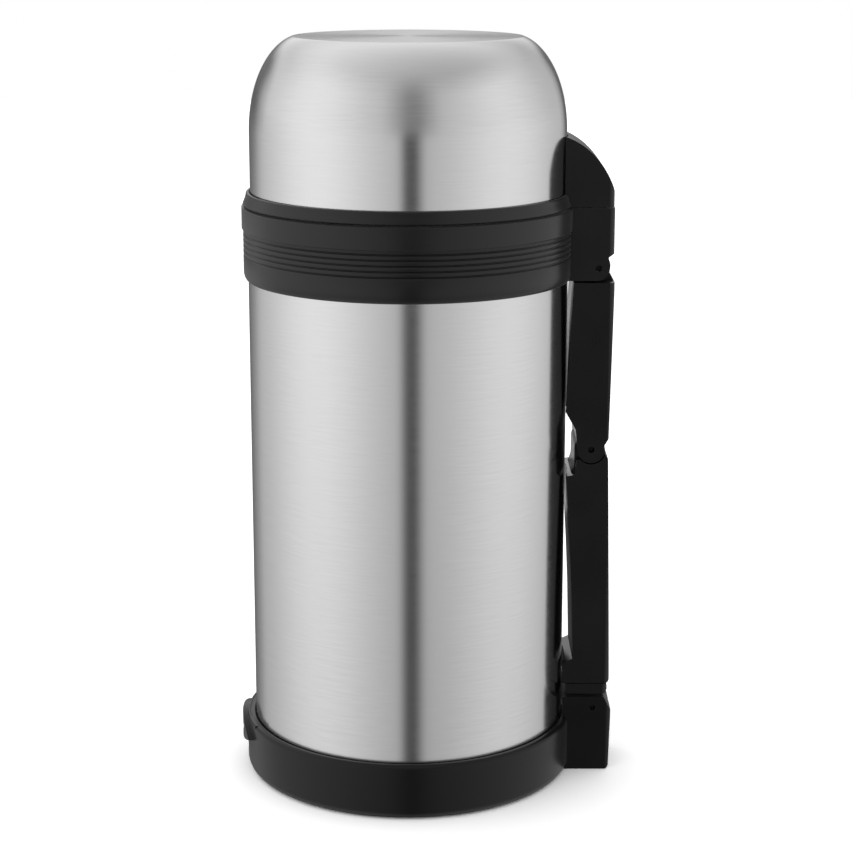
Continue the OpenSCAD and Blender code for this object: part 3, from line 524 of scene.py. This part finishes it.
def cup_rim():
    """The moulded ring round the cup's mouth, the grip over the handle and the thread inside the cup."""
    ring_top = rim_foot + 4.5
    edge = 0.3
    edge_end = 10
    # How far the outside leans in, at heights above the foot
    lean = [(0.45, 1.5), (0.8, 2.4), (1.05, 3.4)]
    top_in = 1.1
    top_round = 0.7
    gap = 0.5
    gap_depth = 1.2
    seat_r = cup_r + 0.02
    grip_edge = 0.5
    thread_foot = cup_foot + 2
    section = [(cup_bore_r, rim_foot)]
    section += arc((rim_r - edge, rim_foot + edge), edge, edge, -90, edge_end, 4)
    section += [(rim_r - inwards, rim_foot + height) for inwards, height in lean]
    top_centre = (rim_r - top_in - top_round, ring_top - top_round)
    section += arc(top_centre, top_round, top_round, edge_end, 90, 5)
    section += [(cup_r + gap, ring_top), (cup_r + gap, ring_top - gap_depth)]
    section += [(seat_r, ring_top - gap_depth), (seat_r, cup_foot), (cup_bore_r, cup_foot)]
    dress(lathe("cup_rim_ring", section), collar_plastic, "cup", "collar_plastic", "cup_rim")
    grip = finish_mesh(outgrowth("cup_rim", 1, bracket_half), "cup_grip")
    dress(soften(grip, grip_edge), collar_plastic, "cup", "collar_plastic", "cup_rim")
    thread("cup_thread", liner_plastic, "cup", "cup_liner_plastic", cup_bore_r, thread_foot, **cup_screw)


cup_rim()


# Collar

def collar():
    """The grooved ring with a band at its top, the cup's spigot and the handle's upper bracket."""
    bore_r = body_r + shell_play
    band_proud = 0.5
    outer = collar_r - band_proud
    # The seam under the cup's rim, as wide as it needs to be to show
    seam = 0.8
    split = rim_foot - seam
    screw_play = 0.7
    spigot_r = cup_bore_r - screw_play
    spigot_in = spigot_r - 3
    spigot_edge = 0.6
    spigot_edge_in = 0.4
    thread_foot = split + 2.6
    bracket_edge = 0.45
    foot_flat = 0.2
    foot_round = 3.2
    top_round = 0.25
    groove_z = collar_foot + 8.4
    groove_pitch = 2.0
    groove_count = 5
    # Half of a groove, as depths and half widths from its edge to its floor
    groove = [(0, 0.56), (0.06, 0.44), (0.5, 0.06)]
    # The soft step up to the band, as insets from its face and heights
    band_step = [(band_proud, -0.1), (band_proud - 0.05, 0), (0.15, 0.2), (0, 0.4)]
    # The inside, which follows the steel shoulder from the gasket down with a little room
    gasket_seat = gasket_r + 0.2
    shoulder = [(spigot_in, ledge_z - 4.6), (gasket_seat, ledge_z + 2.4), (gasket_seat, ledge_z + 0.2),
                (body_r - 1.8, ledge_z - 9.3), (bore_r, ledge_z - 12.8)]
    section = [(bore_r, collar_foot)]
    section += arc((bore_r + foot_flat, collar_foot + foot_round), outer - bore_r - foot_flat, foot_round,
                   -90, 0, 10)
    for i in range(groove_count):
        z = groove_z + (i + 0.5) * groove_pitch
        section += [(outer - depth, z - half) for depth, half in groove]
        section += [(outer - depth, z + half) for depth, half in reversed(groove)]
    band_z = groove_z + (groove_count + 0.2) * groove_pitch
    section += [(collar_r - inwards, band_z + height) for inwards, height in band_step]
    section += arc((collar_r - top_round, split - top_round), top_round, top_round, 0, 90, 4)
    section += [(spigot_r, split), (spigot_r, spigot_top - spigot_edge)]
    section += [(spigot_r - spigot_edge, spigot_top)]
    section += [(spigot_in + spigot_edge_in, spigot_top), (spigot_in, spigot_top - spigot_edge_in)]
    section += shoulder
    ring = lathe("collar_ring", section, sharp=30)
    dress(ring, collar_plastic, "jug_body", "collar_plastic", "collar")
    bracket = finish_mesh(outgrowth("collar", 1, bracket_half), "collar_bracket")
    dress(soften(bracket, bracket_edge), collar_plastic, "jug_body", "collar_plastic", "collar")
    thread("spigot_thread", collar_plastic, "jug_body", "collar_plastic", spigot_r, thread_foot,
           **cup_screw)


collar()


# Boot

def boot():
    """The moulded boot under the body, grooved underneath, with the foot bracket and the strap lug."""
    bore_r = body_r + shell_play
    gap_r = bore_r + 0.3
    gap_depth = 3
    gap_round = 0.3
    rim_z = 21.2
    rim_round = 1.7
    foot_round = 3.5
    floor_t = 3
    groove_r = 51
    groove_half = 3
    groove_slope = 0.5
    groove_depth = 0.8
    lug_half = 23
    bracket_edge = 0.45
    groove_in = groove_r - groove_half
    groove_out = groove_r + groove_half
    section = [(0, 0), (groove_in, 0), (groove_in + groove_slope, groove_depth)]
    section += [(groove_out - groove_slope, groove_depth), (groove_out, 0)]
    section += arc((boot_r - foot_round, foot_round), foot_round, foot_round, -90, 0, 12)
    section += arc((boot_r - rim_round, rim_z - rim_round), rim_round, rim_round, 0, 90, 8)
    section += arc((gap_r + gap_round, rim_z - gap_round), gap_round, gap_round, 90, 180, 4)
    section += [(gap_r, rim_z - gap_depth), (bore_r, rim_z - gap_depth), (bore_r, floor_t), (0, floor_t)]
    dress(lathe("boot_ring", section), boot_plastic, "jug_body", "boot_plastic", "base_boot")
    for name, side, half in (("foot_bracket", 1, bracket_half), ("strap_lug", -1, lug_half)):
        piece = finish_mesh(outgrowth("base_boot", side, half), name)
        dress(soften(piece, bracket_edge), boot_plastic, "jug_body", "boot_plastic", "base_boot")


boot()


# Handle

def handle_piece(node, name, body, edge):
    """One moulding of the handle, with its edges rounded."""
    piece = finish_mesh(merged_copy(node), name)
    return dress(soften(piece, edge), handle_plastic, body, "handle_plastic", node)


handle_piece("upper_arm", "upper_arm_moulding", "handle_upper", edge=0.5)
handle_piece("lower_arm", "lower_arm_moulding", "handle_lower", edge=0.5)
handle_piece("foot_link", "foot_link_moulding", "handle_foot_link", edge=0.4)


def hinge_pin(node, body):
    """A pin's bar, with the rounded ends that let it be driven in."""
    edge = 0.3
    pin = finish_mesh(merged_copy(node), node + "_bar")
    # The pin's near-black colour is painted shade for its recessed ends
    dress(soften(pin, edge), pin_steel, body, "pin_steel", node)


hinge_pin("shoulder_pin", "jug_body")
hinge_pin("elbow_pin", "handle_upper")
hinge_pin("foot_pin", "jug_body")


# Stopper, button and spring

def stopper():
    """The stopper's moulding, the grip ribs round its flange and the thread round its plug."""
    edge = 0.35
    plug_r = 27.2
    thread_foot = plug_foot + 9
    flange_h = 6.8
    spout_half = 5
    rib = 0.45
    rib_count = 60
    rib_length = flange_h - 2.4
    rib_foot = flange_top - flange_h + 0.8
    body = finish_mesh(merged_copy("stopper_body"), "stopper_moulding")
    dress(soften(body, edge), stopper_plastic, "stopper", "stopper_plastic", "stopper_body")
    gap = stopper_r - math.sqrt(stopper_r ** 2 - (spout_half + 2 * rib) ** 2)
    ribs = grown("stopper_grip_ribs", grip_ribs, Radius=stopper_r * MM, Count=rib_count, Rib=rib * MM,
                 Length=rib_length * MM, Gap=gap * MM, Foot=rib_foot * MM, Material=stopper_plastic)
    dress(ribs, stopper_plastic, "stopper", "stopper_plastic")
    thread("plug_thread", stopper_plastic, "stopper", "stopper_plastic", plug_r, thread_foot,
           pitch=4.5, turns=2.2, ridge=0.45)


stopper()


def pour_button():
    """The push button, with the rounder edges of a piece that is touched."""
    edge = 0.4
    button = finish_mesh(merged_copy("pour_button"), "pour_button_moulding")
    dress(soften(button, edge), button_plastic, "button", "button_plastic", "pour_button")


pour_button()


def button_spring():
    """The coil under the button, which rides the button."""
    coil_r, foot, top = reach("button_spring")
    wire = 0.45
    turns = 5
    cut_end = 0.001
    coil = grown("button_spring_coil", wound_bead, Radius=(coil_r - wire) * MM, Turns=turns, Bead=wire * MM,
                 Pitch=(top - foot - 2 * wire) / turns * MM, Ends=cut_end, Foot=(foot + wire) * MM,
                 Material=wire_steel)
    dress(coil, wire_steel, "button", "spring_wire", "button_spring")
    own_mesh(coil)


button_spring()


# CAD nodes that stay, with their finishes
kept = {
    "inner_liner": vessel_steel, "shell_base": vessel_steel, "getter": getter_metal,
    "collar_gasket": silicone, "stopper_seal": silicone, "valve_seal": silicone, "valve_stem": vessel_steel,
    "button_retainer": stopper_plastic,
}
for node_name, finish in kept.items():
    mesh = nodes[node_name].data
    mesh.materials.clear()
    mesh.materials.append(finish)


# Studio: a white tent with a slit that the camera looks through, a card behind the jug and a white floor
scene.view_settings.view_transform = "Standard"


def camera():
    """The photograph's view, a long lens slightly above the jug and looking a little down."""
    pitch = 13.55
    roll = 0.052
    lens = 90.56
    place = Vector((6.75, -798, 326.87)) * MM
    data = bpy.data.cameras.new("camera")
    data.sensor_width = 36
    data.sensor_fit = "HORIZONTAL"
    data.lens = lens
    data.clip_start = 0.01
    eye = bpy.data.objects.new("camera", data)
    scene.collection.objects.link(eye)
    tip = Matrix.Rotation(math.radians(90 - pitch), 4, "X")
    eye.matrix_world = Matrix.Translation(place) @ tip @ Matrix.Rotation(math.radians(roll), 4, "Z")
    scene.camera = eye


camera()


def tent():
    """White fabric round the jug, brightest at both sides and dark behind the jug near the table's height.
    Below the horizon a narrow slit takes the camera, and above it the gap is wide and soft."""
    # The wall's even glow, its soft boxes, each with an angle, a spread and a strength, and the share of light
    # that is left across the slit, at the table's height and above it. Angles run from behind the jug (-180)
    # past its left side (-90), the camera (0) and the handle's side (90)
    low_glow = 0.56
    low_boxes = [(-68, 50, 0.69), (76, 49, 0.56)]
    low_slit = [(-6.5, 1.0), (-1, 0.11), (5.5, 0.11), (13, 1.0)]
    high_glow = 0.64
    high_boxes = [(-74, 49, 0.7), (76, 43, 0.53), (180, 15, 0.42), (-155, 25, 0.24)]
    high_slit = [(-18.5, 1.0), (0.5, 0.46), (8, 0.46), (25.5, 1.0)]
    wall_step = 15
    # Share of that light that is left on the dark cloth behind the jug, at the table's height and above it
    behind_low = [
        (-180, 0.2), (-160, 0.3), (-150, 0.5), (-143, 0.65), (-137, 0.85), (-132, 1.0),
        (142, 1.0), (152, 0.65), (158, 0.2), (180, 0.2),
    ]
    behind_high = [
        (-180, 0.2), (-150, 0.2), (-143, 0.3), (-137, 0.55), (-130, 0.75), (-123, 1.0),
        (142, 1.0), (152, 0.65), (158, 0.2), (180, 0.2),
    ]
    # Height at which the dark cloth ends, in degrees above the horizon
    brow = [
        (-180, 6), (-170, 8), (-160, 12), (-148, 16), (-135, 17), (-125, 12),
        (135, 18), (148, 15), (160, 12), (170, 8), (180, 6),
    ]
    cloth_fade = (-0.05, 0.08)
    roof_lean = (-0.28, 0.42, 0.0)
    roof_light = 0.94
    white = [1.0, 1.0, 1.0, 1.0]
    # A ramp's colours stop at 1, so they hold half the light, and the background's strength doubles it
    half = 0.5
    world = bpy.data.worlds.new("light_tent")
    world.use_nodes = True
    scene.world = world
    tree = world.node_tree
    ray = add_node(tree, "ShaderNodeTexCoord").outputs["Generated"]
    axes = add_node(tree, "ShaderNodeSeparateXYZ", inputs={0: ray})
    front = add_node(tree, "ShaderNodeMath", {"operation": "MULTIPLY"}, {0: axes.outputs[1], 1: -1.0})
    turn = add_node(tree, "ShaderNodeMath", {"operation": "ARCTAN2"}, {
        0: axes.outputs[0], 1: front.outputs[0]})
    share = add_node(tree, "ShaderNodeMapRange", inputs={
        "Value": turn.outputs[0], "From Min": -math.pi, "From Max": math.pi})

    def around(stops, scale=1.0):
        """A grey that changes round the tent, from pairs of an angle in degrees and a value."""
        ring = add_node(tree, "ShaderNodeValToRGB", inputs={0: share.outputs[0]})
        ramp = ring.color_ramp
        while len(ramp.elements) < len(stops):
            ramp.elements.new(0.5)
        for element, (angle, value) in zip(ramp.elements, stops):
            grey = value * scale
            element.position = (angle + 180) / 360
            element.color = [grey, grey, grey, 1.0]
        return ring.outputs[0]

    def between(start, end, first=0.0, last=1.0):
        """A value that runs from first to last between two heights above the horizon, in degrees."""
        return add_node(tree, "ShaderNodeMapRange", inputs={
            "Value": axes.outputs[2], "From Min": math.sin(math.radians(start)),
            "From Max": math.sin(math.radians(end)), "To Min": first, "To Max": last}).outputs[0]

    def wall_light(glow, boxes, slit):
        """Pairs of an angle and the wall's light there, from its glow and soft boxes, cut by the slit."""
        cut = dict(slit)
        slit_start = min(cut)
        slit_end = max(cut)
        angles = [angle for angle in range(-180, 181, wall_step) if not slit_start < angle < slit_end]
        pairs = []
        for angle in sorted(angles + list(cut)):
            light = glow
            for middle, spread, strength in boxes:
                away = abs((angle - middle + 180) % 360 - 180)
                light += strength * math.exp(-(away / spread) ** 2)
            pairs.append((angle, light * cut.get(angle, 1.0)))
        return pairs

    # The wall, a little darker towards the floor
    low = wall_light(low_glow, low_boxes, low_slit)
    high = wall_light(high_glow, high_boxes, high_slit)
    lower = add_node(tree, "ShaderNodeMix", {"data_type": "RGBA", "blend_type": "MULTIPLY"}, {
        0: 1.0, 6: around(low, half), 7: between(-24, -8, 0.86, 1.1)})
    wall = add_node(tree, "ShaderNodeMix", {"data_type": "RGBA"}, {
        0: between(0, 4), 6: lower.outputs[2], 7: around(high, half)})

    # The dark cloth behind the jug
    edge = around([(angle, math.sin(math.radians(height))) for angle, height in brow])
    above = add_node(tree, "ShaderNodeMath", {"operation": "SUBTRACT"}, {0: axes.outputs[2], 1: edge})
    clear = add_node(tree, "ShaderNodeMapRange", inputs={
        "Value": above.outputs[0], "From Min": cloth_fade[0], "From Max": cloth_fade[1]})
    behind = add_node(tree, "ShaderNodeMix", {"data_type": "RGBA"}, {
        0: between(-10, 0), 6: around(behind_low), 7: around(behind_high)})
    cloth = add_node(tree, "ShaderNodeMix", {"data_type": "RGBA"}, {
        0: clear.outputs[0], 6: behind.outputs[2], 7: white})
    draped = add_node(tree, "ShaderNodeMix", {"data_type": "RGBA", "blend_type": "MULTIPLY"}, {
        0: 1.0, 6: wall.outputs[2], 7: cloth.outputs[2]})

    # The roof, brighter towards the back and the left
    tilt = add_node(tree, "ShaderNodeVectorMath", {"operation": "DOT_PRODUCT"}, {0: ray, 1: roof_lean})
    roof = add_node(tree, "ShaderNodeMath", {"operation": "MULTIPLY_ADD"}, {
        0: tilt.outputs["Value"], 1: half, 2: roof_light * half})
    dome = add_node(tree, "ShaderNodeMix", {"data_type": "RGBA"}, {
        0: between(30, 52), 6: draped.outputs[2], 7: roof.outputs[0]})

    # Plain white where the camera looks past the jug
    path = add_node(tree, "ShaderNodeLightPath")
    colour = add_node(tree, "ShaderNodeMix", {"data_type": "RGBA"}, {
        0: path.outputs["Is Camera Ray"], 6: dome.outputs[2], 7: [half, half, half, 1.0]})
    background = tree.nodes["Background"]
    tree.links.new(colour.outputs[2], background.inputs["Color"])
    background.inputs["Strength"].default_value = 1 / half


tent()


def card_behind():
    """A white card behind the jug, hidden by it, that lights the inner faces of the handle."""
    width = 60 * MM
    height = 240 * MM
    place = Vector((30, 350, 120)) * MM
    data = bpy.data.lights.new("card_behind", "AREA")
    data.shape = "RECTANGLE"
    data.size = width
    data.size_y = height
    data.energy = math.pi * width * height
    card = bpy.data.objects.new("card_behind", data)
    scene.collection.objects.link(card)
    card.matrix_world = Matrix.Translation(place) @ Matrix.Rotation(math.radians(-90), 4, "X")


card_behind()


def white_floor():
    """White paper, lit to well past white for the camera so that only the jug's shadow shows on it."""
    half_width = 3000 * MM
    paper = 0.9
    seen = 1.5
    bm = bmesh.new()
    bmesh.ops.create_grid(bm, x_segments=2, y_segments=2, size=half_width)
    floor = finish_mesh(bm, "floor")
    material = bpy.data.materials.new("white_paper")
    material.use_nodes = True
    tree = material.node_tree
    tree.nodes.remove(tree.nodes["Principled BSDF"])
    path = add_node(tree, "ShaderNodeLightPath")
    level = add_node(tree, "ShaderNodeMapRange", inputs={
        "Value": path.outputs["Is Camera Ray"], "To Min": paper, "To Max": seen})
    matt = add_node(tree, "ShaderNodeBsdfDiffuse", inputs={"Color": level.outputs[0]})
    tree.links.new(matt.outputs[0], tree.nodes["Material Output"].inputs["Surface"])
    floor.data.materials.append(material)
    floor.visible_glossy = False


white_floor()
